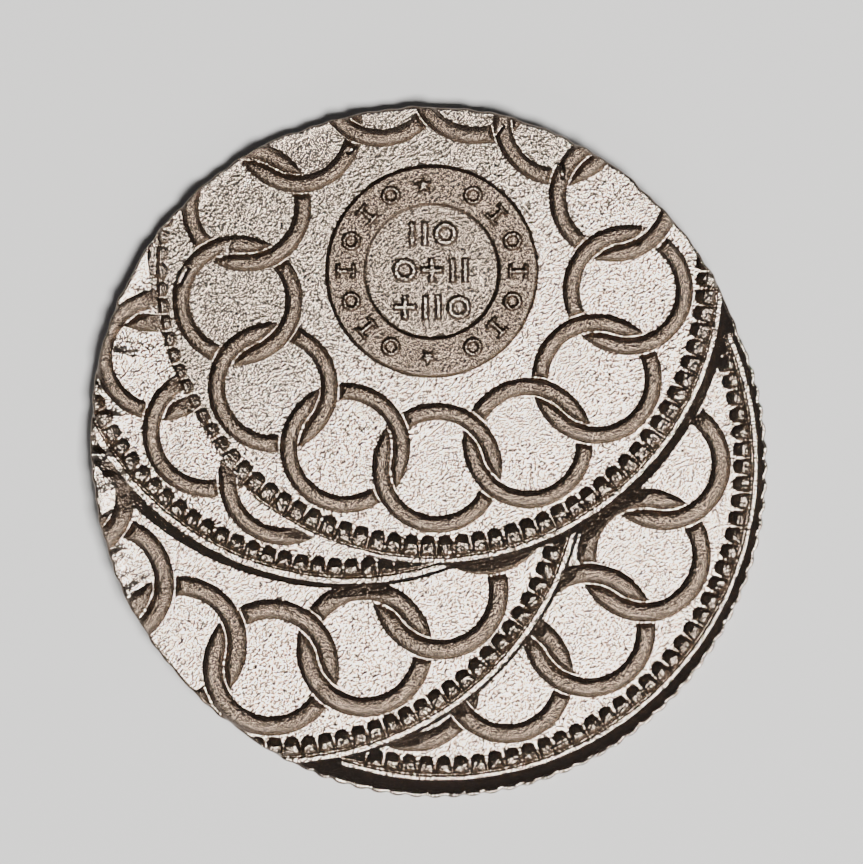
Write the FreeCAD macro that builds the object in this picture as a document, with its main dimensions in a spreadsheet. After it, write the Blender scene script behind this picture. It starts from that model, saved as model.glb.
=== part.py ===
"""A metal token that the same pair of dies has struck four times, each time further off centre.

One solid piece. The blank lies in XY with its face up (+Z) and rests on the flat rim of its back at Z = 0.
Every blow sinks a round, sloping-sided pocket and leaves the die's relief on its floor: a chain of linked
rings, a border of teeth and, in the middle, a seal. A later blow wipes out what an earlier one left there.
Angles run anticlockwise from +X, in degrees.
"""
import FreeCAD, Part
import math
import os

Vector = FreeCAD.Vector
Placement = FreeCAD.Placement
Rotation = FreeCAD.Rotation

NODE = "struck_token"
BLOWS = ("first", "second", "third", "fourth")

# Each driving size: alias, value in millimetres, degrees or a plain number, and what it is.
SIZES = (
    ("thickness", 2.27, "from the flat back rim to the top of the front rim"),
    ("half_height", 0.95, "height of the plane between the blank's back half and front half"),
    ("blank_radius", 24.0, "radius of the metal before the outline is cut, past every ring and tooth"),
    ("outline_x", 0.078, "centre that the outline's corners and crowns are given about"),
    ("outline_y", -0.078, "centre that the outline's corners and crowns are given about"),
    ("back_rim_width", 0.85, "flat rim round the back"),
    ("wall_run", 1.43, "run of a pocket's wall for each millimetre of height"),
    ("pocket_height", 1.2, "height of a pocket tool, more than any pocket's depth"),
    # What the die leaves, all measured from the floor of its pocket
    ("root", 0.15, "depth to which raised work is rooted below the floor"),
    ("band_width", 0.86, "width of a ring's band"),
    ("band_height", 0.27, "height of a ring's band"),
    ("tooth_width", 0.6, "width of a border tooth"),
    ("tooth_height", 0.22, "height of a border tooth"),
    ("seal_outer", 5.1, "outer radius of the raised seal"),
    ("seal_inner", 3.07, "inner radius of the raised seal"),
    ("seal_height", 0.1, "height of the seal over the floor"),
    ("seal_slope", 0.12, "run of the seal's sloping sides"),
    ("mark_height", 0.12, "height of the plain marks and stars"),
    ("star_radius", 0.47, "radius of a star's points"),
    ("star_path", 4.08, "distance of the two stars from the middle"),
    ("pellet_base", 0.62, "radius of the back's round pellets at their root"),
    ("pellet_top", 0.36, "radius of their flat tops"),
    ("pellet_height", 0.2, "height of a pellet"),
    ("back_star_radius", 3.4, "radius of the star in the middle of the back"),
    # The milled part of the edge, which the first blow's collar made
    ("mill_x", 0.46, "centre of the milled arc"),
    ("mill_y", -0.78, "centre of the milled arc"),
    ("mill_radius", 15.68, "radius of the milled arc"),
    ("mill_cut", 0.24, "radius of the cut between two reeds"),
    ("mill_proud", 0.13, "distance of a cut's centre outside the arc"),
    ("mill_start", -108.0, "angle of the first cut"),
    ("mill_end", 18.0, "angle of the last cut"),
    ("mill_pitch", 3.35, "angle between two cuts"),
)

# The four blows: the pocket's centre, the heights of its front and back floors, its radius, and the teeth
# and rings that it leaves in sight.
BLOW_ROWS = (
    "x", "y", "front", "back", "border",
    "tooth_in", "tooth_out", "tooth_start", "tooth_end", "tooth_pitch",
    "ring_path", "ring_mid", "ring_start", "ring_end", "ring_pitch",
)
BLOW_VALUES = {
    "first": (0.61, -0.59, 1.85, 0.25, 15.0,
              13.81, 14.67, -111.05, 22.0, 3.29, 10.57, 2.69, -97.0, 24.5, 24.25),
    "second": (-7.18, -0.13, 1.72, 0.3, 14.66,
               13.38, 14.29, -127.0, -8.5, 3.35, 10.14, 2.75, -168.5, 12.0, 25.7),
    "third": (-3.73, 7.61, 1.6, 0.36, 13.9,
              12.64, 13.48, -165.0, -84.0, 3.5, 9.48, 2.67, -161.0, -109.0, 26.0),
    "fourth": (0.19, 8.52, 1.5, 0.42, 13.81,
               12.48, 13.48, -188.4, 12.5, 3.56, 9.33, 2.665, -254.65, 105.0, 27.69),
}

# The outline is seven arcs, each from a corner over its crown to the next corner: angle and radius of both
OUTLINE_ARCS = (
    ((20, 15.81), (-20, 16.24)),
    ((-60, 16.52), (-95, 16.34)),
    ((-130, 16.05), (-152, 16.07)),
    ((-175, 16.1), (-195, 16.4)),
    ((-215, 16.67), (-235, 16.74)),
    ((-255, 16.52), (-275, 16.52)),
    ((-292, 16.4), (-316, 16.1)),
)
STAR_POINTS = 5
STAR_WAIST = 0.4  # inner radius of a star over its outer one
PELLETS = 13  # round the back of each blow

doc = FreeCAD.newDocument("token")
sheet = doc.addObject("Spreadsheet::Sheet", "sizes")


def fill_sheet():
    """Write the driving sizes to the sheet, one row each, with its alias."""
    rows = list(SIZES)
    for blow in BLOWS:
        for word, value in zip(BLOW_ROWS, BLOW_VALUES[blow]):
            rows.append((blow + "_" + word, value, "the " + blow + " blow"))
    for number, (alias, value, note) in enumerate(rows, start=1):
        sheet.set("A%d" % number, str(value))
        sheet.setAlias("A%d" % number, alias)
        sheet.set("B%d" % number, note)
    doc.recompute()


def size(alias):
    """The value of one driving size."""
    return float(sheet.get(alias))


def polar(radius, angle, height=0.0):
    """A point at a radius and an angle in degrees."""
    turn = math.radians(angle)
    return Vector(radius * math.cos(turn), radius * math.sin(turn), height)


def steps(start, end, pitch):
    """Evenly spaced values from start up to end."""
    count = int(math.floor((end - start) / pitch + 1e-6)) + 1
    return [start + pitch * number for number in range(count)]


def front_frame(blow):
    """The place of a blow's floor on the front."""
    return Placement(Vector(size(blow + "_x"), size(blow + "_y"), size(blow + "_front")), Rotation())


def back_frame(blow):
    """The place of a blow's floor on the back, whose relief points down; local X still runs along +X."""
    centre = Vector(size(blow + "_x"), size(blow + "_y"), size(blow + "_back"))
    return Placement(centre, Rotation(Vector(1, 0, 0), 180))


def outline_face(inset):
    """The outline as a flat face, drawn in by an inset."""
    centre = Vector(size("outline_x"), size("outline_y"), 0)
    corners = [centre + polar(radius - inset, angle) for (angle, radius), _ in OUTLINE_ARCS]
    crowns = [centre + polar(radius - inset, angle) for _, (angle, radius) in OUTLINE_ARCS]
    ends = corners[1:] + corners[:1]
    arcs = [Part.Arc(*points).toShape() for points in zip(corners, crowns, ends)]
    return Part.Face(Part.Wire(arcs))


def feature(name, shape, place=Placement()):
    """A document object that holds a ready shape."""
    holder = doc.addObject("Part::Feature", name)
    holder.Shape = shape
    holder.Placement = place
    return holder


def joined(name, kind, base, tool):
    """A boolean of two document objects."""
    result = doc.addObject(kind, name)
    result.Base = base
    result.Tool = tool
    return result


def fused(name, pieces):
    """One body out of several document objects."""
    result = doc.addObject("Part::MultiFuse", name)
    result.Shapes = pieces
    result.Refine = False
    return result


def pocket(name, blow, frame):
    """The sloping-sided tool that sinks a blow's floor."""
    cone = doc.addObject("Part::Cone", name)
    cone.setExpression("Radius1", "sizes.%s_border" % blow)
    cone.setExpression("Radius2", "sizes.%s_border + sizes.pocket_height * sizes.wall_run" % blow)
    cone.setExpression("Height", "sizes.pocket_height")
    cone.Placement = frame
    return cone


def rings(blow, frame):
    """The links of the chain that a blow leaves, each a flat ring."""
    links = []
    angles = steps(size(blow + "_ring_start"), size(blow + "_ring_end"), size(blow + "_ring_pitch"))
    for number, angle in enumerate(angles, start=1):
        spot = frame.multiply(Placement(polar(size(blow + "_ring_path"), angle, -size("root")), Rotation()))
        link = "%s_ring_%d" % (blow, number)
        rims = []
        for word, sign in (("outer", "+"), ("inner", "-")):
            rim = doc.addObject("Part::Cylinder", "%s_%s" % (link, word))
            rim.setExpression("Radius", "sizes.%s_ring_mid %s sizes.band_width / 2" % (blow, sign))
            rim.setExpression("Height", "sizes.band_height + sizes.root")
            rim.Placement = spot
            rims.append(rim)
        links.append(joined(link, "Part::Cut", *rims))
    return links


def tooth(inner, outer, angle):
    """One border tooth: a radial bar with a round inner end."""
    half = size("tooth_width") / 2
    nose = inner + half
    rows = (Vector(outer, -half, 0), Vector(nose, -half, 0), Vector(nose, half, 0), Vector(outer, half, 0))
    edges = [
        Part.LineSegment(rows[0], rows[1]).toShape(),
        Part.Arc(rows[1], Vector(inner, 0, 0), rows[2]).toShape(),
        Part.LineSegment(rows[2], rows[3]).toShape(),
        Part.LineSegment(rows[3], rows[0]).toShape(),
    ]
    bar = Part.Face(Part.Wire(edges)).extrude(Vector(0, 0, size("tooth_height") + size("root")))
    bar.Placement = Placement(Vector(0, 0, -size("root")), Rotation(Vector(0, 0, 1), angle))
    return bar


def teeth(name, blow, frame, side=1):
    """The border of teeth that a blow leaves in sight."""
    sweep = steps(size(blow + "_tooth_start"), size(blow + "_tooth_end"), size(blow + "_tooth_pitch"))
    inner = size(blow + "_tooth_in")
    outer = size(blow + "_tooth_out")
    bars = [tooth(inner, outer, side * angle) for angle in sweep]
    return feature(name, Part.makeCompound(bars), frame)


def star(radius, height, centre, turn):
    """A flat five-pointed star, reaching a little below the floor."""
    corners = []
    for number in range(2 * STAR_POINTS):
        reach = radius if number % 2 == 0 else radius * STAR_WAIST
        corners.append(centre + polar(reach, turn + 180.0 * number / STAR_POINTS))
    corners.append(corners[0])
    depth = size("root")
    face = Part.Face(Part.makePolygon([corner - Vector(0, 0, depth) for corner in corners]))
    return face.extrude(Vector(0, 0, height + depth))


def block(length, width, height, centre, turn):
    """A plain bar, reaching a little below the floor, its length along the turned X axis."""
    depth = size("root")
    bar = Part.makeBox(length, width, height + depth, Vector(-length / 2, -width / 2, -depth))
    bar.Placement = Placement(centre, Rotation(Vector(0, 0, 1), turn))
    return bar


def seal(name, radius, height, frame):
    """A raised disc with sloping sides."""
    disc = doc.addObject("Part::Cone", name)
    disc.setExpression("Radius1", "sizes.%s" % radius)
    disc.setExpression("Radius2", "sizes.%s - sizes.seal_slope" % radius)
    disc.setExpression("Height", "sizes.%s" % height)
    disc.Placement = frame
    return disc


def seal_marks(frame):
    """Two stars and two arcs of seven plain bars on the seal, and three rows of plain blocks inside it."""
    top = size("seal_height")
    pieces = []
    for angle in (95.6, -92.6):
        centre = polar(size("star_path"), angle, top)
        pieces.append(star(size("star_radius"), size("mark_height"), centre, angle))
    for side in (0, 180):
        for number in range(-3, 4):
            angle = side + 21.0 * number
            centre = polar(size("star_path"), angle, top)
            pieces.append(block(1.0, 0.42, size("mark_height"), centre, angle))
    for row, count in ((1.77, 2), (0.05, 3), (-1.71, 3)):
        for number in range(count):
            across = (number - (count - 1) / 2) * 1.25
            centre = Vector(across, row, 0)
            pieces.append(block(0.62, 1.1, size("mark_height"), centre, 0))
    return feature("seal_marks", Part.makeCompound(pieces), frame)


def strike_front(body, blow):
    """One blow on the front of the piece."""
    frame = front_frame(blow)
    sunk = joined(blow + "_front_sunk", "Part::Cut", body, pocket(blow + "_front_pocket", blow, frame))
    relief = rings(blow, frame)
    relief.append(teeth(blow + "_front_teeth", blow, frame))
    if blow == BLOWS[-1]:
        disc = seal("seal_disc", "seal_outer", "seal_height", frame)
        hole = doc.addObject("Part::Cone", "seal_hole")
        hole.setExpression("Radius1", "sizes.seal_inner")
        hole.setExpression("Radius2", "sizes.seal_inner + 2 * sizes.seal_slope")
        hole.setExpression("Height", "2 * sizes.seal_height")
        hole.Placement = frame
        relief.append(joined("seal_ring", "Part::Cut", disc, hole))
        relief.append(seal_marks(frame))
    return fused(blow + "_front", [sunk] + relief)


def strike_back(body, blow, inside):
    """One blow on the back of the piece, which stays inside the flat rim."""
    frame = back_frame(blow)
    tool = joined(blow + "_back_tool", "Part::Common", pocket(blow + "_back_pocket", blow, frame), inside)
    sunk = joined(blow + "_back_sunk", "Part::Cut", body, tool)
    pellets = []
    for number in range(PELLETS):
        spot = polar(size(blow + "_ring_path"), 360.0 * number / PELLETS, -size("root"))
        height = size("pellet_height") + size("root")
        pellets.append(Part.makeCone(size("pellet_base"), size("pellet_top"), height, spot))
    relief = [
        feature(blow + "_back_pellets", Part.makeCompound(pellets), frame),
        teeth(blow + "_back_teeth", blow, frame, side=-1),
    ]
    if blow == BLOWS[-1]:
        shape = star(size("back_star_radius"), size("seal_height"), Vector(), 90)
        relief.append(feature("back_star", shape, frame))
    return fused(blow + "_back", [sunk] + relief)


def half_blank(name, height, bottom):
    """A round half of the blank, larger than the outline."""
    half = doc.addObject("Part::Cylinder", name)
    half.setExpression("Radius", "sizes.blank_radius")
    half.setExpression("Height", height)
    if bottom:
        half.setExpression("Placement.Base.z", "sizes." + bottom)
    return half


def outline_prism(name, inset, bottom, top):
    """The outline raised to a prism."""
    shape = outline_face(inset)
    shape.translate(Vector(0, 0, bottom))
    return feature(name, shape.extrude(Vector(0, 0, top - bottom)))


def mill_cuts():
    """The upright cuts between the reeds of the milled arc."""
    cuts = []
    for angle in steps(size("mill_start"), size("mill_end"), size("mill_pitch")):
        spot = polar(size("mill_radius") + size("mill_proud"), angle, -1)
        cuts.append(Part.makeCylinder(size("mill_cut"), size("thickness") + 2, spot))
    place = Placement(Vector(size("mill_x"), size("mill_y"), 0), Rotation())
    return feature("mill_cuts", Part.makeCompound(cuts), place)


def build_token():
    """Four blows on both halves of a blank, then the outline and the milled arc."""
    front = half_blank("front_blank", "sizes.thickness - sizes.half_height", "half_height")
    back = half_blank("back_blank", "sizes.half_height", None)
    inside = outline_prism("inside_of_rim", size("back_rim_width"), -1, size("thickness") + 1)
    for blow in BLOWS:
        front = strike_front(front, blow)
        back = strike_back(back, blow, inside)
    bound = outline_prism("bound", 0, -1, size("thickness") + 1)
    trimmed = joined("trimmed", "Part::Common", fused("struck_blank", [front, back]), bound)
    token = joined(NODE, "Part::Cut", trimmed, mill_cuts())
    token.Label = NODE
    return token


def check(token):
    """Stop if any object failed or the token isn't one valid solid."""
    for thing in doc.Objects:
        if "Invalid" in thing.State or "Error" in thing.State:
            raise RuntimeError("%s failed to compute" % thing.Name)
    shape = token.Shape
    if shape.isNull() or not shape.isValid() or len(shape.Solids) != 1:
        raise RuntimeError("the token isn't one valid solid")


fill_sheet()
token = build_token()
doc.recompute()
check(token)
os.makedirs("parts", exist_ok=True)
token.Shape.Solids[0].exportStep(os.path.join("parts", NODE + ".step"))
bounds = token.Shape.BoundBox
print("box %.2f x %.2f x %.2f mm" % (bounds.XLength, bounds.YLength, bounds.ZLength))
print("volume %.0f mm3, %d faces" % (token.Shape.Volume, len(token.Shape.Faces)))
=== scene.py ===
"""Looks of a metal token that one pair of dies has struck four times, each time further off centre.

The token is one closed mesh. A flat sheet is cut to the token's outline and given its thickness. Both faces
then take the four blows in turn: inside a blow's border the metal takes the die's relief, and outside it the
older work is only cut back by the sloping wall that the die leaves.
Lengths of the relief are in millimetres until they are written to the mesh, which is in metres.
Angles are in degrees, anticlockwise from +X seen from the front.
"""

import math
from collections import namedtuple

import bpy
import numpy as np
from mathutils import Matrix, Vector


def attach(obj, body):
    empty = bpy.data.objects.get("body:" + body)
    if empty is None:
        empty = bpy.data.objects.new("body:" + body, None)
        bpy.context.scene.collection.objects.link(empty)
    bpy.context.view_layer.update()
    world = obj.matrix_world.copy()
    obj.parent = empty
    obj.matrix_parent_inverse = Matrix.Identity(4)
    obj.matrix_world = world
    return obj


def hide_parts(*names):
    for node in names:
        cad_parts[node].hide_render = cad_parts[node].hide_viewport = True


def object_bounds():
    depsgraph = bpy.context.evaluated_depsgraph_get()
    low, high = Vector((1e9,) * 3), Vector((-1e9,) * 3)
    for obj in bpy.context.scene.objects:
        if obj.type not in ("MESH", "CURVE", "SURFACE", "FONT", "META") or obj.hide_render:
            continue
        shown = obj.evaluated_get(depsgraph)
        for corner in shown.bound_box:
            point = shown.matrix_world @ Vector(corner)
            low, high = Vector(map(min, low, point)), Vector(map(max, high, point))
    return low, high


bl_info = {
    "name": "Struck token",
    "version": (1, 0, 0),
    "blender": (4, 5, 0),
    "location": "View3D > Sidebar > Struck token",
    "description": "Models a token struck four times off centre and its studio stage",
    "category": "Add Mesh",
}

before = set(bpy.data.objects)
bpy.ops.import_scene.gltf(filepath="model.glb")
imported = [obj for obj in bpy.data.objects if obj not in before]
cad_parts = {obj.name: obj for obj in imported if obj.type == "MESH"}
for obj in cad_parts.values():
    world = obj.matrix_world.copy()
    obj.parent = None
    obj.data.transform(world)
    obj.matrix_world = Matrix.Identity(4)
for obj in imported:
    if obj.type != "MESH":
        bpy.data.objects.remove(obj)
CAD_LOW, CAD_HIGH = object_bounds()
NODE = "struck_token"
MM = 0.001

# One blow of the dies: its middle, the height of its floors on the front and back, the front floor's lean,
# the radii of its teeth and ledge, and the pitch of its teeth and of its chain of rings.
Blow = namedtuple(
    "Blow",
    "x y front lean_x lean_y back tooth_in tooth_out ledge_in ledge_out "
    "tooth_at tooth_pitch ring_path ring_in ring_out ring_at ring_pitch ledge_from ledge_to",
)
BLOWS = (
    Blow(0.61, -0.59, 1.85, 0.0, 0.0, 0.25, 13.81, 14.67, 14.81, 15.0,
         15.85, 3.29, 10.57, 2.26, 3.17, 0.0, 24.25, -360, -360),
    Blow(-7.18, -0.13, 1.72, 0.0, 0.0, 0.3, 13.38, 14.29, 14.43, 14.66,
         -19.97, 3.35, 10.14, 2.3, 3.24, -14.3, 25.7, -360, -360),
    Blow(-3.73, 7.61, 1.3, 0.012, -0.018, 0.36, 12.64, 13.48, 13.62, 13.9,
         -100.0, 3.5, 9.48, 2.28, 3.12, -109.0, 26.0, -360, -360),
    Blow(0.19, 8.52, 1.43, 0.0085, -0.005, 0.42, 12.48, 13.48, 13.57, 13.81,
         -26.72, 3.56, 9.33, 2.27, 3.095, -88.5, 27.69, -150, -118),
)
RINGS_EACH_WAY = 6
TOP_SPARE = 0.003  # keeps the mesh just inside the size of the design
BOTTOM_SPARE = 0.0005

# The relief that the dies leave, over their floor
BAND_HEIGHT = 0.27
BAND_GAP = 0.085
TOOTH_HEIGHT = 0.26
TOOTH_HALF_WIDTH = 0.355
TOOTH_SPREAD = 0.04
TOOTH_SIDE = 0.19
TOOTH_NOSE = 0.5
GROOVE_DEPTH = 0.07
GROOVE_HALF_WIDTH = 0.13
LEDGE_HEIGHT = 0.05
WALL_SLOPE = 0.52
BEND_FROM = -1.0  # the last blow's floor falls away to the upper left from here on
BEND = 0.0038
PAINTED_SHADE_FLOOR = 0.5  # painted shade: the same floor's colour darkens to the upper left over this span, and the floor grows rougher there, standing in for the shade that the light leaves there
PAINTED_SHADE_SPAN = (-6.0, 4.0)
SEAL_OUTER = 5.1
SEAL_INNER = 3.07
SEAL_HEIGHT = 0.18
SEAL_SIDE = 0.23
MARK_HEIGHT = 0.2
MARK_SIDE = 0.15

# Slow unevenness of the floors: direction, length, size and shift of each wave
FLOOR_WAVES = (
    (17, 3.1, 0.0022, 0.3), (74, 2.3, 0.0016, 1.7), (131, 1.7, 0.0012, 4.0),
    (48, 1.1, 0.0007, 2.2), (102, 0.83, 0.0005, 5.1), (160, 0.6, 0.0004, 0.9),
)
# Rough metal among the teeth, where the die didn't fill
BORDER_WAVES = (
    (8, 0.31, 0.018, 0.5), (66, 0.27, 0.018, 2.5), (119, 0.36, 0.018, 4.1), (163, 0.23, 0.012, 1.0),
)
# Small dents that make the plain part of the edge uneven: dents per turn, size and shift of each set
DENTS = ((17, 0.017, 0.4), (29, 0.018, 1.9), (47, 0.021, 4.1), (83, 0.018, 2.2), (107, 0.015, 0.0))
# Torn metal along the left edge: ridges per turn, size, lean and shift of each set of radial ridges
TEARS = (
    (31, 0.1, 0.2, 3.0), (61, 0.08, 0.5, 0.4), (97, 0.05, -0.8, 2.0), (163, 0.03, 0.3, 4.4),
)
TEAR_SPAN = (146.0, 214.0)
# Burrs that the later blows have turned up along the upper left edge
BURR_SPAN = (98.0, 160.0)
BURR_HEIGHT = 0.12
# Nicks across the rings: where, length, width, angle and depth
NICKS = (
    (10.1, 10.3, 1.3, 0.4, 72, 0.13), (6.35, 13.35, 1.1, 0.38, 100, 0.12), (3.4, 15.2, 0.8, 0.36, 60, 0.12),
    (-11.6, 8.3, 1.1, 0.4, 65, 0.12), (-9.7, 9.5, 1.1, 0.6, 25, 0.1), (-8.5, 12.6, 0.8, 0.5, -30, 0.1),
    (-3.6, 14.3, 0.8, 0.4, 40, 0.12), (12.4, 9.2, 0.9, 0.36, 80, 0.12),
)

# The outline: seven arcs, each from a corner over its crown to the next corner
OUTLINE_MIDDLE = (0.078, -0.078)
OUTLINE_ARCS = (
    ((20, 15.81), (-20, 16.24)),
    ((-60, 16.52), (-95, 16.34)),
    ((-130, 16.05), (-152, 16.07)),
    ((-175, 16.1), (-195, 16.4)),
    ((-215, 16.67), (-235, 16.74)),
    ((-255, 16.52), (-275, 16.52)),
    ((-292, 16.4), (-316, 16.1)),
)
OUTLINE_INSET = 0.03
MILL_MIDDLE = (0.46, -0.78)
MILL_SPAN = (-112.0, 20.0)
MILL_PITCH = 3.35
MILL_DEPTH = 0.11


class TokenSizes(bpy.types.PropertyGroup):
    """Sizes of the token's mesh."""

    cell: bpy.props.FloatProperty(
        name="Cell", description="Spacing of the sheet that takes the relief",
        default=0.05 * MM, min=0.03 * MM, max=0.2 * MM, subtype="DISTANCE", unit="LENGTH")
    faces: bpy.props.IntProperty(
        name="Faces", description="Triangles that the finished token keeps",
        default=190000, min=20000, max=199000)
    edge_round: bpy.props.FloatProperty(
        name="Edge rounding", description="Radius of the worn outer edge",
        default=0.16 * MM, min=0.0, max=0.5 * MM, subtype="DISTANCE", unit="LENGTH")


class TokenFinish(bpy.types.PropertyGroup):
    """Colours of the metal."""

    bright: bpy.props.FloatVectorProperty(
        name="Bright metal", description="Colour of the high, open metal",
        default=(0.90, 0.75, 0.61), size=3, min=0.0, max=1.0, subtype="COLOR")
    # This colour is the raised work's own, and it also paints the shade over the floor toward the upper left.
    raised_and_shade: bpy.props.FloatVectorProperty(
        name="Raised metal", description="Colour of the rings and the seal",
        default=(0.30, 0.222, 0.16), size=3, min=0.0, max=1.0, subtype="COLOR")
    # Painted shade: steep sides take this colour for the shade they fall into; the pits of the grain take it as
    # the metal's own colour.
    pit_and_shade_colour: bpy.props.FloatVectorProperty(
        name="Toned metal", description="Colour of the metal in corners and on steep sides",
        default=(0.16, 0.122, 0.095), size=3, min=0.0, max=1.0, subtype="COLOR")
    roughness: bpy.props.FloatProperty(
        name="Roughness", description="Roughness of the open floors",
        default=0.15, min=0.0, max=1.0, subtype="FACTOR")


class StageLook(bpy.types.PropertyGroup):
    """Floor, light and camera."""

    floor: bpy.props.FloatVectorProperty(
        name="Floor", description="Colour of the floor",
        default=(0.78, 0.77, 0.75), size=3, min=0.0, max=1.0, subtype="COLOR")
    camera_height: bpy.props.FloatProperty(
        name="Camera height", description="Height of the camera over the token",
        default=0.45, min=0.1, max=2.0, subtype="DISTANCE", unit="LENGTH")
    picture_width: bpy.props.FloatProperty(
        name="Picture width", description="Width that the camera takes in at the floor",
        default=41.1 * MM, min=0.01, max=1.0, subtype="DISTANCE", unit="LENGTH")
    light_power: bpy.props.FloatProperty(
        name="Light power", description="Power of the large soft light",
        default=21.0, min=0.0, max=500.0, unit="POWER")
    fill_power: bpy.props.FloatProperty(
        name="Fill power", description="Power of the low light in front",
        default=2.0, min=0.0, max=500.0, unit="POWER")


# ---------------------------------------------------------------- outline


def circle_through(first, second, third):
    """Middle and radius of the circle through three points."""
    ax, ay = first
    bx, by = second
    cx, cy = third
    twice = 2 * (ax * (by - cy) + bx * (cy - ay) + cx * (ay - by))
    a2, b2, c2 = ax * ax + ay * ay, bx * bx + by * by, cx * cx + cy * cy
    x = (a2 * (by - cy) + b2 * (cy - ay) + c2 * (ay - by)) / twice
    y = (a2 * (cx - bx) + b2 * (ax - cx) + c2 * (bx - ax)) / twice
    return x, y, math.hypot(ax - x, ay - y)


def polar_point(angle, radius):
    """A point at an angle and a radius, as a pair."""
    turn = math.radians(angle)
    return radius * math.cos(turn), radius * math.sin(turn)


def outline_radius(angle):
    """Distance from the outline's middle to the plain outline, for an array of angles."""
    radius = np.zeros_like(angle)
    count = len(OUTLINE_ARCS)
    for number in range(count):
        start, crown = OUTLINE_ARCS[number]
        end = OUTLINE_ARCS[(number + 1) % count][0]
        x, y, size = circle_through(polar_point(*start), polar_point(*crown), polar_point(*end))
        span = (start[0] - end[0]) % 360
        within = ((start[0] - angle) % 360) <= span
        turn = np.radians(angle)
        along = x * np.cos(turn) + y * np.sin(turn)
        reach = along + np.sqrt(np.maximum(size * size - (x * x + y * y - along * along), 0))
        radius = np.where(within, reach, radius)
    return radius


def edge_radius(angle):
    """Distance from the outline's middle to the edge, with its reeds and its dents."""
    radius = outline_radius(angle) - OUTLINE_INSET
    turn = np.radians(angle)
    x = OUTLINE_MIDDLE[0] + radius * np.cos(turn) - MILL_MIDDLE[0]
    y = OUTLINE_MIDDLE[1] + radius * np.sin(turn) - MILL_MIDDLE[1]
    mill_angle = np.degrees(np.arctan2(y, x))
    within = smooth_step(mill_angle, MILL_SPAN[0] - 4, MILL_SPAN[0] + 2)
    within *= 1 - smooth_step(mill_angle, MILL_SPAN[1] - 2, MILL_SPAN[1] + 4)
    wave = 0.5 - 0.5 * np.cos(2 * math.pi * mill_angle / MILL_PITCH)
    reeds = MILL_DEPTH * wave ** 1.5
    dents = 0.0
    for count, size, shift in DENTS:
        dents = dents + size * (1 + np.sin(count * turn + shift))
    return radius - within * reeds - (1 - within) * dents


# ---------------------------------------------------------------- relief


def smooth_step(value, low, high):
    """0 below low, 1 above high, smooth between."""
    part = np.clip((value - low) / (high - low), 0, 1)
    return part * part * (3 - 2 * part)


def rounded(depth, width):
    """Height from 0 to 1 of a bank whose top rounds off at a width inside its edge."""
    part = np.clip(depth / width, 0, 1)
    return 1 - (1 - part) ** 2.7


def ring_chain(blow, x, y):
    """The chain of linked rings: each passes over one neighbour and under the other."""
    height = np.zeros_like(x)
    half = (blow.ring_out - blow.ring_in) / 2
    middle = (blow.ring_out + blow.ring_in) / 2
    numbers = range(-RINGS_EACH_WAY, RINGS_EACH_WAY + 1)
    spots = {n: polar_point(blow.ring_at - n * blow.ring_pitch, blow.ring_path)
             for n in range(-RINGS_EACH_WAY - 1, RINGS_EACH_WAY + 2)}
    away = {n: np.hypot(x - spot[0], y - spot[1]) for n, spot in spots.items()}
    for n in numbers:
        depth = half - np.abs(away[n] - middle)
        for other in (n - 1, n + 1):
            sx, sy = spots[n]
            ox, oy = spots[other]
            side = (x - sx) * (oy - sy) - (y - sy) * (ox - sx)
            outward = side * (other - n) < 0
            over = outward if other < n else ~outward
            clear = np.abs(away[other] - middle) - half - BAND_GAP
            depth = np.where(over, np.minimum(depth, clear), depth)
        height = np.maximum(height, rounded(depth, half))
    return BAND_HEIGHT * height


def tooth_border(blow, radius, angle):
    """The border of round-nosed teeth, which widen outwards until they meet, with the ledge behind them."""
    turn = (angle - blow.tooth_at) / blow.tooth_pitch
    across = (turn - np.round(turn)) * np.radians(blow.tooth_pitch) * radius
    nose = blow.tooth_in + TOOTH_HALF_WIDTH
    spread = TOOTH_SPREAD * smooth_step(radius, nose, blow.tooth_out - 0.1)
    reach = np.where(radius < nose, np.hypot(across, radius - nose), np.abs(across))
    depth = np.minimum(TOOTH_HALF_WIDTH + spread - reach, 0.7 * (blow.tooth_out + 0.08 - radius))
    ramp = np.clip((radius - blow.tooth_in) / TOOTH_NOSE, 0, 1)
    teeth = TOOTH_HEIGHT * rounded(depth, TOOTH_SIDE + spread) * ramp
    ledge = LEDGE_HEIGHT * smooth_step(radius, blow.ledge_in - 0.1, blow.ledge_in + 0.02)
    from_groove = np.abs(radius - (blow.tooth_out + blow.ledge_in) / 2)
    groove = GROOVE_DEPTH * (1 - smooth_step(from_groove, 0.02, GROOVE_HALF_WIDTH))
    return np.maximum(teeth, ledge) - groove


def box_mark(x, y, at, half_length, half_width, angle):
    """Depth inside a plain bar."""
    turn = math.radians(angle)
    along = (x - at[0]) * math.cos(turn) + (y - at[1]) * math.sin(turn)
    across = (y - at[1]) * math.cos(turn) - (x - at[0]) * math.sin(turn)
    return np.minimum(half_length - np.abs(along), half_width - np.abs(across))


def round_mark(x, y, at, radius, hole=0.0):
    """Depth inside a round mark or a small ring."""
    away = np.hypot(x - at[0], y - at[1])
    return np.minimum(radius - away, away - hole) if hole else radius - away


def star_mark(x, y, at, radius, angle):
    """Depth inside a five-pointed star."""
    away = np.hypot(x - at[0], y - at[1])
    turn = np.degrees(np.arctan2(y - at[1], x - at[0])) - angle
    turn = np.abs((turn + 36) % 72 - 36)
    px, py = away * np.cos(np.radians(turn)), away * np.sin(np.radians(turn))
    wx, wy = polar_point(36, radius * 0.42)
    length = math.hypot(radius - wx, wy)
    return ((radius - px) * wy - py * (radius - wx)) / length


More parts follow.
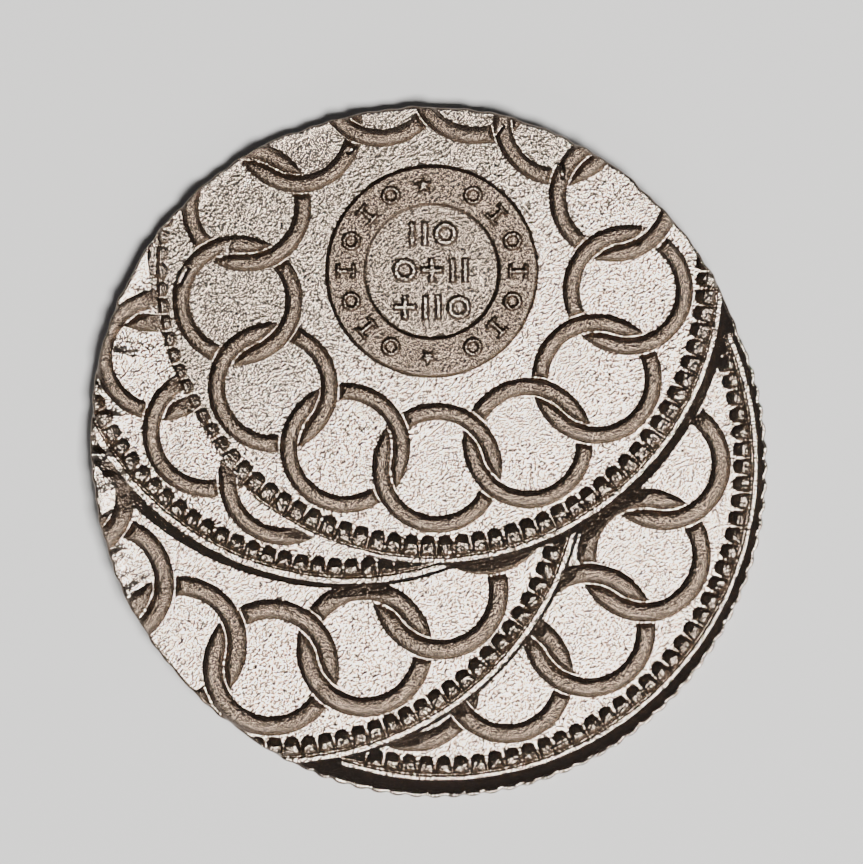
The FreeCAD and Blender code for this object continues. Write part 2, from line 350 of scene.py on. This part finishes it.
def seal(x, y):
    """The round seal: a raised band with two stars and plain marks, and rows of plain marks inside it."""
    radius = np.hypot(x, y)
    band = smooth_step(SEAL_OUTER - radius, 0, SEAL_SIDE) * smooth_step(radius - SEAL_INNER, 0, SEAL_SIDE)
    height = SEAL_HEIGHT * band
    middle = (SEAL_OUTER + SEAL_INNER) / 2
    depth = np.full_like(x, -1.0)
    for angle in (95.6, -92.6):
        depth = np.maximum(depth, star_mark(x, y, polar_point(angle, middle), 0.62, angle))
    for side in (0, 180):
        for number in range(-3, 4):
            angle = side + 20.5 * number
            at = polar_point(angle, middle)
            if number % 2:
                mark = round_mark(x, y, at, 0.5, 0.17)
            else:
                mark = box_mark(x, y, at, 0.52, 0.17, angle)
                for step in (-0.36, 0.36):
                    spot = polar_point(angle, middle + step)
                    mark = np.maximum(mark, box_mark(x, y, spot, 0.15, 0.4, angle))
            depth = np.maximum(depth, mark)
    rows = ((1.77, ("bar", "ring")), (0.05, ("ring", "cross", "bar")), (-1.71, ("cross", "bar", "ring")))
    for row, kinds in rows:
        for number, kind in enumerate(kinds):
            at = ((number - (len(kinds) - 1) / 2) * 1.28, row)
            if kind == "ring":
                mark = round_mark(x, y, at, 0.62, 0.22)
            elif kind == "bar":
                left = box_mark(x, y, (at[0] - 0.3, at[1]), 0.2, 0.63, 0)
                right = box_mark(x, y, (at[0] + 0.3, at[1]), 0.2, 0.63, 0)
                mark = np.maximum(left, right)
            else:
                mark = np.maximum(box_mark(x, y, at, 0.6, 0.2, 0), box_mark(x, y, at, 0.2, 0.63, 0))
            depth = np.maximum(depth, mark)
    marks = smooth_step(depth, 0, MARK_SIDE)
    return height + MARK_HEIGHT * marks, marks


def ledge_strength(blow, angle):
    """How fully the ledge is formed, from 0 to 1, by angle."""
    if blow.ledge_from == blow.ledge_to:
        return np.ones_like(angle)
    formed = smooth_step(angle, blow.ledge_from, blow.ledge_to)
    return np.where(angle > 60, 0.0, formed)


def border_reach(blow, strength):
    """Radius out to which the die has pressed: only past the teeth's heads where the ledge isn't formed."""
    heads = blow.tooth_in + 0.65
    return heads + strength * (blow.ledge_out - heads)


def waves(x, y, rows):
    """Slow unevenness as a sum of plane waves."""
    height = np.zeros_like(x)
    for angle, length, size, shift in rows:
        px, py = polar_point(angle, 2 * math.pi / length)
        height += size * np.sin(px * x + py * y + shift)
    return height


def torn_edge(x, y):
    """Crude radial ridges and turned-up burrs that the later blows left along the outer edge."""
    inside, angle = from_edge(x, y)
    around = np.mod(angle, 360)
    turn = np.radians(angle)
    ridges = np.zeros_like(x)
    for count, size, lean, shift in TEARS:
        ridges += size * (0.6 - np.abs(np.sin(count / 2 * turn + lean * inside * 1.5 + shift)))
    span = smooth_step(around, TEAR_SPAN[0], TEAR_SPAN[0] + 10)
    span = span * (1 - smooth_step(around, TEAR_SPAN[1] - 8, TEAR_SPAN[1]))
    reach = 2.0 + 0.9 * np.sin(9 * turn + 1.0) * np.sin(23 * turn)
    torn = span * ridges * (1 - smooth_step(inside, 0.3 * reach, reach))
    span = smooth_step(around, BURR_SPAN[0], BURR_SPAN[0] + 4)
    span = span * (1 - smooth_step(around, BURR_SPAN[1] - 4, BURR_SPAN[1]))
    width = 0.42 + 0.2 * np.sin(19 * turn + 2.0) + 0.15 * np.sin(47 * turn)
    burr = BURR_HEIGHT * span * np.clip(1 - inside / width, 0, 1)
    return torn + burr


def front_relief(x, y, top):
    """Height of the front after all four blows, and how much of it is raised work, together with the painted shade
    that darkens the floor toward the upper left.
    """
    surface = np.full_like(x, top)
    raised_and_shade = np.zeros_like(x)
    for blow in BLOWS:
        last = blow is BLOWS[-1]
        dx, dy = x - blow.x, y - blow.y
        radius, angle = np.hypot(dx, dy), np.degrees(np.arctan2(dy, dx))
        floor = blow.front + blow.lean_x * dx + blow.lean_y * dy
        border = tooth_border(blow, radius, angle)
        strength = ledge_strength(blow, angle)
        past_heads = smooth_step(radius, blow.tooth_in + 0.4, blow.tooth_in + 0.65)
        border = border * (1 - past_heads * (1 - strength))
        rings = ring_chain(blow, dx, dy)
        among = past_heads * (1 - smooth_step(radius, blow.tooth_out, blow.ledge_in))
        relief = rings + border + among * waves(x, y, BORDER_WAVES)
        border_work = np.maximum(0.4 * smooth_step(border, 0.08, 0.16), 0.35 * among)
        work_and_shade = np.maximum(smooth_step(rings, 0.0, 0.1), border_work)
        if last:
            toward = 0.8 * dy - 0.6 * dx
            away = np.maximum(toward - BEND_FROM, 0)
            floor = floor - BEND * away * away
            seal_height, marks = seal(dx, dy)
            relief = relief + seal_height
            on_band = 0.2 * smooth_step(radius - SEAL_INNER, 0, SEAL_SIDE)
            within = smooth_step(SEAL_OUTER - radius, 0, SEAL_SIDE)
            work_and_shade = np.maximum(work_and_shade, within * (0.75 + on_band - 0.25 * marks))
            # Painted shade: the floor's colour darkens toward the upper left, where the light leaves it in shade.
            work_and_shade = np.maximum(work_and_shade, PAINTED_SHADE_FLOOR * smooth_step(toward, *PAINTED_SHADE_SPAN))
        limit = border_reach(blow, strength)
        wall = floor + LEDGE_HEIGHT * strength + np.maximum(radius - limit, 0) * WALL_SLOPE
        surface = np.where(radius < limit, floor + relief, np.minimum(surface, wall))
        raised_and_shade = np.where(radius < limit, work_and_shade, raised_and_shade)
    for at_x, at_y, length, width, angle, depth in NICKS:
        nick = smooth_step(box_mark(x, y, (at_x, at_y), length / 2, width / 2, angle), 0, width / 2)
        surface = surface - depth * smooth_step(raised_and_shade, PAINTED_SHADE_FLOOR, 1) * nick
        raised_and_shade = raised_and_shade * (1 - nick)
    return surface + waves(x, y, FLOOR_WAVES), raised_and_shade


def from_edge(x, y):
    """Distance in from the token's edge, and the angle about the outline's middle."""
    ox, oy = x - OUTLINE_MIDDLE[0], y - OUTLINE_MIDDLE[1]
    angle = np.degrees(np.arctan2(oy, ox))
    return edge_radius(angle) - np.hypot(ox, oy), angle


def edge_drop(x, y, bend):
    """How far the worn outer edge has dropped."""
    short = np.clip(bend - from_edge(x, y)[0], 0, bend)
    return bend - np.sqrt(bend * bend - short * short)


def front_height(x, y, top, bend):
    """Height of the front of the token."""
    height = front_relief(x, y, top)[0] + torn_edge(x, y) - edge_drop(x, y, bend)
    return np.clip(height, 0.7, top - TOP_SPARE)


def back_height(x, y, bend):
    """Height of the back, measured up from the flat rim it rests on."""
    inside = from_edge(x, y)[0]
    depth = np.zeros_like(x)
    for number, blow in enumerate(BLOWS):
        dx, dy = x - blow.x, y - blow.y
        radius, angle = np.hypot(dx, dy), np.degrees(np.arctan2(dy, dx))
        relief = tooth_border(blow, radius, angle)
        for count in range(13):
            at = polar_point(360.0 * count / 13, blow.ring_path)
            relief = np.maximum(relief, 0.2 * rounded(round_mark(dx, dy, at, 0.6), 0.5))
        if number == len(BLOWS) - 1:
            relief = np.maximum(relief, 0.15 * smooth_step(star_mark(dx, dy, (0, 0), 3.4, 90), 0, 0.15))
            line = 0.3 - np.abs(np.hypot(dx, dy) - 5.1)
            relief = np.maximum(relief, 0.12 * smooth_step(line, 0, 0.2))
        floor = blow.back
        wall = floor - LEDGE_HEIGHT - np.maximum(radius - blow.ledge_out, 0) * WALL_SLOPE
        depth = np.where(radius < blow.ledge_out, floor - relief, np.maximum(depth, np.maximum(wall, 0)))
    depth = np.maximum(depth * smooth_step(inside, 0.75, 1.25), 0)
    return depth + edge_drop(x, y, bend) + BOTTOM_SPARE


# ---------------------------------------------------------------- mesh


def deselect_all():
    """Clear the selection, which loading leaves on the loaded nodes."""
    if bpy.context.object and bpy.context.object.mode != "OBJECT":
        bpy.ops.object.mode_set(mode="OBJECT")
    bpy.ops.object.select_all(action="DESELECT")


def points_of(mesh):
    """The mesh's points as an array in millimetres."""
    flat = np.empty(len(mesh.vertices) * 3, np.float32)
    mesh.vertices.foreach_get("co", flat)
    return flat.reshape(-1, 3).astype(np.float64) / MM


def write_points(mesh, points):
    """Put an array of points in millimetres back into the mesh."""
    mesh.vertices.foreach_set("co", (points * MM).astype(np.float32).ravel())
    mesh.update()


def cut_sheet(cell):
    """A flat sheet of small square cells, cut to the outline, whose rim points lie on the edge."""
    extent = 34.0
    cells = int(round(extent / cell))
    bpy.ops.mesh.primitive_grid_add(
        x_subdivisions=cells, y_subdivisions=cells, size=extent * MM, location=(0, 0, 0))
    sheet = bpy.context.object
    mesh = sheet.data
    points = points_of(mesh)
    x, y = points[:, 0] - OUTLINE_MIDDLE[0], points[:, 1] - OUTLINE_MIDDLE[1]
    angle = np.degrees(np.arctan2(y, x))
    edge = edge_radius(angle)
    radius = np.hypot(x, y)
    inner = radius < edge - 0.35 * cell
    corners = np.empty(len(mesh.loops), np.int32)
    mesh.loops.foreach_get("vertex_index", corners)
    kept = inner[corners.reshape(-1, 4)].any(axis=1)
    mesh.polygons.foreach_set("select", ~kept)
    mesh.edges.foreach_set("select", np.zeros(len(mesh.edges), bool))
    mesh.vertices.foreach_set("select", np.zeros(len(mesh.vertices), bool))
    mesh.update()
    bpy.ops.object.mode_set(mode="EDIT")
    bpy.ops.mesh.select_mode(type="FACE")
    bpy.ops.mesh.delete(type="FACE")
    bpy.ops.object.mode_set(mode="OBJECT")
    points = points_of(mesh)
    x, y = points[:, 0] - OUTLINE_MIDDLE[0], points[:, 1] - OUTLINE_MIDDLE[1]
    angle = np.degrees(np.arctan2(y, x))
    edge = edge_radius(angle)
    radius = np.hypot(x, y)
    pull = np.where(radius >= edge - 0.35 * cell, edge / radius, 1.0)
    points[:, 0] = OUTLINE_MIDDLE[0] + x * pull
    points[:, 1] = OUTLINE_MIDDLE[1] + y * pull
    write_points(mesh, points)
    return sheet


def note_raised_work_and_shade(mesh, top):
    """Store on each point how much raised work it carries, with the painted shade toward the upper left, for the
    metal's colour.
    """
    points = points_of(mesh)
    raised_and_shade = front_relief(points[:, 0], points[:, 1], top)[1]
    raised_and_shade[points[:, 2] < 0.65] = 0.0
    layer = mesh.attributes.new("raised_work_and_shade", "FLOAT", "POINT")
    layer.data.foreach_set("value", raised_and_shade.astype(np.float32))


def relief_slopes(spots, height):
    """Unit normals of a height map at some spots, facing up."""
    x, y = spots[:, 0], spots[:, 1]
    step = 0.012
    slope_x = (height(x + step, y) - height(x - step, y)) / (2 * step)
    slope_y = (height(x, y + step) - height(x, y - step)) / (2 * step)
    normals = np.stack((-slope_x, -slope_y, np.ones_like(x)), axis=1)
    return normals / np.linalg.norm(normals, axis=1, keepdims=True)


def shade_from_relief(mesh, top, bend):
    """Take each face corner's shading normal from the relief: a thinned mesh alone shades its flats in streaks."""
    faces = len(mesh.polygons)
    corners = np.empty(faces * 3, np.int32)
    mesh.loops.foreach_get("vertex_index", corners)
    facing = np.empty(faces * 3, np.float32)
    mesh.polygons.foreach_get("normal", facing)
    facing = facing.reshape(-1, 3).astype(np.float64)
    places = points_of(mesh)[corners].reshape(faces, 3, 3)
    middle = places.mean(axis=1, keepdims=True)
    spots = places + 0.2 * (middle - places)
    normals = np.repeat(facing[:, None, :], 3, axis=1)
    front = facing[:, 2] > 0.2
    back = facing[:, 2] < -0.2
    shape = normals[front].shape
    smooth = relief_slopes(spots[front].reshape(-1, 3), lambda x, y: front_height(x, y, top, bend))
    normals[front] = smooth.reshape(shape)
    shape = normals[back].shape
    smooth = relief_slopes(spots[back].reshape(-1, 3), lambda x, y: back_height(x, y, bend))
    normals[back] = -smooth.reshape(shape)
    mesh.normals_split_custom_set(normals.reshape(-1, 3).tolist())


class TOKEN_OT_struck_token(bpy.types.Operator):
    """Model the token: cut the sheet, give it thickness, press both faces and thin out the flat parts"""

    bl_idname = "token.struck_token"
    bl_label = "Struck token"

    def execute(self, context):
        sizes = context.scene.token_sizes
        deselect_all()
        cell = sizes.cell / MM
        token = cut_sheet(cell)
        token.name = "struck_piece"
        mesh = token.data
        top = (CAD_HIGH.z - CAD_LOW.z) / MM
        bpy.ops.object.mode_set(mode="EDIT")
        bpy.ops.mesh.select_all(action="SELECT")
        bpy.ops.mesh.extrude_region_move(TRANSFORM_OT_translate={"value": (0, 0, top * MM)})
        bpy.ops.object.mode_set(mode="OBJECT")
        bend = sizes.edge_round / MM
        points = points_of(mesh)
        is_front = points[:, 2] > top / 2
        x, y = points[:, 0], points[:, 1]
        points[is_front, 2] = front_height(x[is_front], y[is_front], top, bend)
        points[~is_front, 2] = back_height(x[~is_front], y[~is_front], bend)
        write_points(mesh, points)
        modifier = token.modifiers.new("thin_out", "DECIMATE")
        modifier.ratio = min(1.0, sizes.faces / (2 * len(mesh.polygons)))
        modifier.use_collapse_triangulate = True
        bpy.ops.object.modifier_apply(modifier=modifier.name)
        note_raised_work_and_shade(mesh, top)
        bpy.ops.object.shade_smooth()
        shade_from_relief(mesh, top, bend)
        mesh.materials.append(silver_metal(context.scene.token_finish))
        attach(token, "root")
        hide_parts(NODE)
        print("token triangles:", len(mesh.polygons))
        return {"FINISHED"}


# ---------------------------------------------------------------- metal


def socket(group, name, kind, way, default=None):
    """Add one named socket to a node group."""
    made = group.interface.new_socket(name=name, in_out=way, socket_type=kind)
    if default is not None:
        made.default_value = default
    return made


def node(tree, kind, **values):
    """Add a node and set its properties."""
    made = tree.nodes.new(kind)
    for name, value in values.items():
        setattr(made, name, value)
    return made


def steep_group():
    """Node group: how steep the surface is against the token's flat, from 0 on the flat to 1."""
    group = bpy.data.node_groups.new("Steepness", "ShaderNodeTree")
    socket(group, "Start", "NodeSocketFloat", "INPUT", 0.05)
    socket(group, "End", "NodeSocketFloat", "INPUT", 0.4)
    socket(group, "Mask", "NodeSocketFloat", "OUTPUT")
    inlet = node(group, "NodeGroupInput")
    outlet = node(group, "NodeGroupOutput")
    place = node(group, "ShaderNodeTexCoord")
    parts = node(group, "ShaderNodeSeparateXYZ")
    size = node(group, "ShaderNodeMath", operation="ABSOLUTE")
    slope = node(group, "ShaderNodeMath", operation="SUBTRACT")
    slope.inputs[0].default_value = 1.0
    span = node(group, "ShaderNodeMapRange", interpolation_type="SMOOTHSTEP")
    link = group.links.new
    link(place.outputs["Normal"], parts.inputs[0])
    link(parts.outputs["Z"], size.inputs[0])
    link(size.outputs[0], slope.inputs[1])
    link(slope.outputs[0], span.inputs["Value"])
    link(inlet.outputs["Start"], span.inputs["From Min"])
    link(inlet.outputs["End"], span.inputs["From Max"])
    link(span.outputs["Result"], outlet.inputs["Mask"])
    return group


def grain_group():
    """Node group: fine pebbled grain of struck metal, as a height and as a mask of its pits."""
    group = bpy.data.node_groups.new("Struck grain", "ShaderNodeTree")
    socket(group, "Scale", "NodeSocketFloat", "INPUT", 4000.0)
    socket(group, "Height", "NodeSocketFloat", "OUTPUT")
    socket(group, "Pits", "NodeSocketFloat", "OUTPUT")
    inlet = node(group, "NodeGroupInput")
    outlet = node(group, "NodeGroupOutput")
    place = node(group, "ShaderNodeTexCoord")
    noise = node(group, "ShaderNodeTexNoise")
    noise.inputs["Detail"].default_value = 2.0
    noise.inputs["Roughness"].default_value = 0.6
    pits = node(group, "ShaderNodeMapRange", interpolation_type="SMOOTHSTEP")
    pits.inputs["From Min"].default_value = 0.5
    pits.inputs["From Max"].default_value = 0.41
    link = group.links.new
    link(place.outputs["Object"], noise.inputs["Vector"])
    link(inlet.outputs["Scale"], noise.inputs["Scale"])
    link(noise.outputs["Fac"], outlet.inputs["Height"])
    link(noise.outputs["Fac"], pits.inputs["Value"])
    link(pits.outputs["Result"], outlet.inputs["Pits"])
    return group


def silver_metal(finish):
    """The metal: bright and finely grained on floors, darker, rougher and coarser on raised work, with painted
    shade on steep sides and over the floor toward the upper left.
    """
    material = bpy.data.materials.new("struck_silver")
    material.use_nodes = True
    tree = material.node_tree
    link = tree.links.new
    shader = tree.nodes["Principled BSDF"]
    shader.inputs["Metallic"].default_value = 1.0
    steep = node(tree, "ShaderNodeGroup", node_tree=steep_group())
    steep.inputs["Start"].default_value = 0.02
    steep.inputs["End"].default_value = 0.16
    grain = node(tree, "ShaderNodeGroup", node_tree=grain_group())
    grain.inputs["Scale"].default_value = 8000.0
    raised_and_shade = node(tree, "ShaderNodeAttribute", attribute_name="raised_work_and_shade")
    # The raised work's own colour; the same mix also paints shade over the floor toward the upper left.
    raised_and_shade_colour = node(tree, "ShaderNodeMix", data_type="RGBA")
    raised_and_shade_colour.inputs["A"].default_value = (*finish.bright, 1.0)
    raised_and_shade_colour.inputs["B"].default_value = (*finish.raised_and_shade, 1.0)
    link(raised_and_shade.outputs["Fac"], raised_and_shade_colour.inputs["Factor"])
    pitted = node(tree, "ShaderNodeMapRange")
    pitted.inputs["To Min"].default_value = 0.8
    pitted.inputs["To Max"].default_value = 1.0
    link(raised_and_shade.outputs["Fac"], pitted.inputs["Value"])
    pits = node(tree, "ShaderNodeMath", operation="MULTIPLY")
    link(pitted.outputs["Result"], pits.inputs[0])
    link(grain.outputs["Pits"], pits.inputs[1])
    # Painted shade on steep sides, in the same dark colour as the pits of the grain.
    pits_and_shade_mask = node(tree, "ShaderNodeMath", operation="MAXIMUM")
    link(pits.outputs[0], pits_and_shade_mask.inputs[0])
    link(steep.outputs["Mask"], pits_and_shade_mask.inputs[1])
    colour = node(tree, "ShaderNodeMix", data_type="RGBA")
    colour.inputs["B"].default_value = (*finish.pit_and_shade_colour, 1.0)
    link(raised_and_shade_colour.outputs["Result"], colour.inputs["A"])
    link(pits_and_shade_mask.outputs[0], colour.inputs["Factor"])
    link(colour.outputs["Result"], shader.inputs["Base Color"])
    rough = node(tree, "ShaderNodeMapRange")
    rough.inputs["To Min"].default_value = finish.roughness
    rough.inputs["To Max"].default_value = finish.roughness + 0.12
    link(raised_and_shade.outputs["Fac"], rough.inputs["Value"])
    link(rough.outputs["Result"], shader.inputs["Roughness"])
    depth = node(tree, "ShaderNodeMapRange")
    depth.inputs["To Min"].default_value = 0.58
    depth.inputs["To Max"].default_value = 0.9
    link(raised_and_shade.outputs["Fac"], depth.inputs["Value"])
    bump = node(tree, "ShaderNodeBump")
    bump.inputs["Distance"].default_value = 0.12 * MM
    link(depth.outputs["Result"], bump.inputs["Strength"])
    link(grain.outputs["Height"], bump.inputs["Height"])
    link(bump.outputs["Normal"], shader.inputs["Normal"])
    return material


# ---------------------------------------------------------------- stage


class TOKEN_OT_stage(bpy.types.Operator):
    """Lay the pale floor, hang the soft light and point the camera straight down"""

    bl_idname = "token.stage"
    bl_label = "Stage"

    def execute(self, context):
        look = context.scene.stage_look
        deselect_all()
        bpy.ops.mesh.primitive_plane_add(size=4.0, location=(0, 0, CAD_LOW.z))
        floor = context.object
        floor.name = "floor"
        paint = bpy.data.materials.new("pale_floor")
        paint.use_nodes = True
        shader = paint.node_tree.nodes["Principled BSDF"]
        shader.inputs["Base Color"].default_value = (*look.floor, 1.0)
        shader.inputs["Roughness"].default_value = 0.9
        floor.data.materials.append(paint)
        bpy.ops.object.light_add(type="AREA", location=(0.28, -0.33, 0.9))
        light = context.object
        light.name = "soft_light"
        light.data.shape = "RECTANGLE"
        light.data.size = 0.36
        light.data.size_y = 0.3
        light.data.energy = look.light_power
        bpy.ops.object.light_add(type="AREA", location=(0.1, -0.8, 0.35), rotation=(math.radians(66), 0, 0))
        fill = context.object
        fill.name = "fill_light"
        fill.data.shape = "RECTANGLE"
        fill.data.size = 0.8
        fill.data.size_y = 0.4
        fill.data.energy = look.fill_power
        world = bpy.data.worlds.new("studio")
        world.use_nodes = True
        world.node_tree.nodes["Background"].inputs["Color"].default_value = (0.9, 0.92, 1.0, 1.0)
        world.node_tree.nodes["Background"].inputs["Strength"].default_value = 0.06
        context.scene.world = world
        bpy.ops.object.camera_add(location=(0.17 * MM, 0.9 * MM, look.camera_height), rotation=(0, 0, 0))
        camera = context.object
        camera.name = "camera"
        camera.data.lens = camera.data.sensor_width * look.camera_height / look.picture_width
        context.scene.camera = camera
        return {"FINISHED"}


class TOKEN_PT_panel(bpy.types.Panel):
    """Lists the token's sizes and operators"""

    bl_label = "Struck token"
    bl_idname = "TOKEN_PT_panel"
    bl_space_type = "VIEW_3D"
    bl_region_type = "UI"
    bl_category = "Struck token"

    def draw(self, context):
        for group in (context.scene.token_sizes, context.scene.token_finish, context.scene.stage_look):
            for name in group.__annotations__:
                self.layout.prop(group, name)
        for operator in OPERATORS:
            self.layout.operator(operator.bl_idname)


OPERATORS = (TOKEN_OT_struck_token, TOKEN_OT_stage)
CLASSES = (TokenSizes, TokenFinish, StageLook, *OPERATORS, TOKEN_PT_panel)


def register():
    """Register the classes and hang the settings on the scene."""
    for cls in CLASSES:
        bpy.utils.register_class(cls)
    bpy.types.Scene.token_sizes = bpy.props.PointerProperty(type=TokenSizes)
    bpy.types.Scene.token_finish = bpy.props.PointerProperty(type=TokenFinish)
    bpy.types.Scene.stage_look = bpy.props.PointerProperty(type=StageLook)


def unregister():
    """Take the settings and classes away again."""
    del bpy.types.Scene.stage_look
    del bpy.types.Scene.token_finish
    del bpy.types.Scene.token_sizes
    for cls in reversed(CLASSES):
        bpy.utils.unregister_class(cls)


def main():
    """Build the token and the stage."""
    register()
    bpy.ops.token.struck_token()
    bpy.ops.token.stage()


if __name__ == "__main__":
    main()
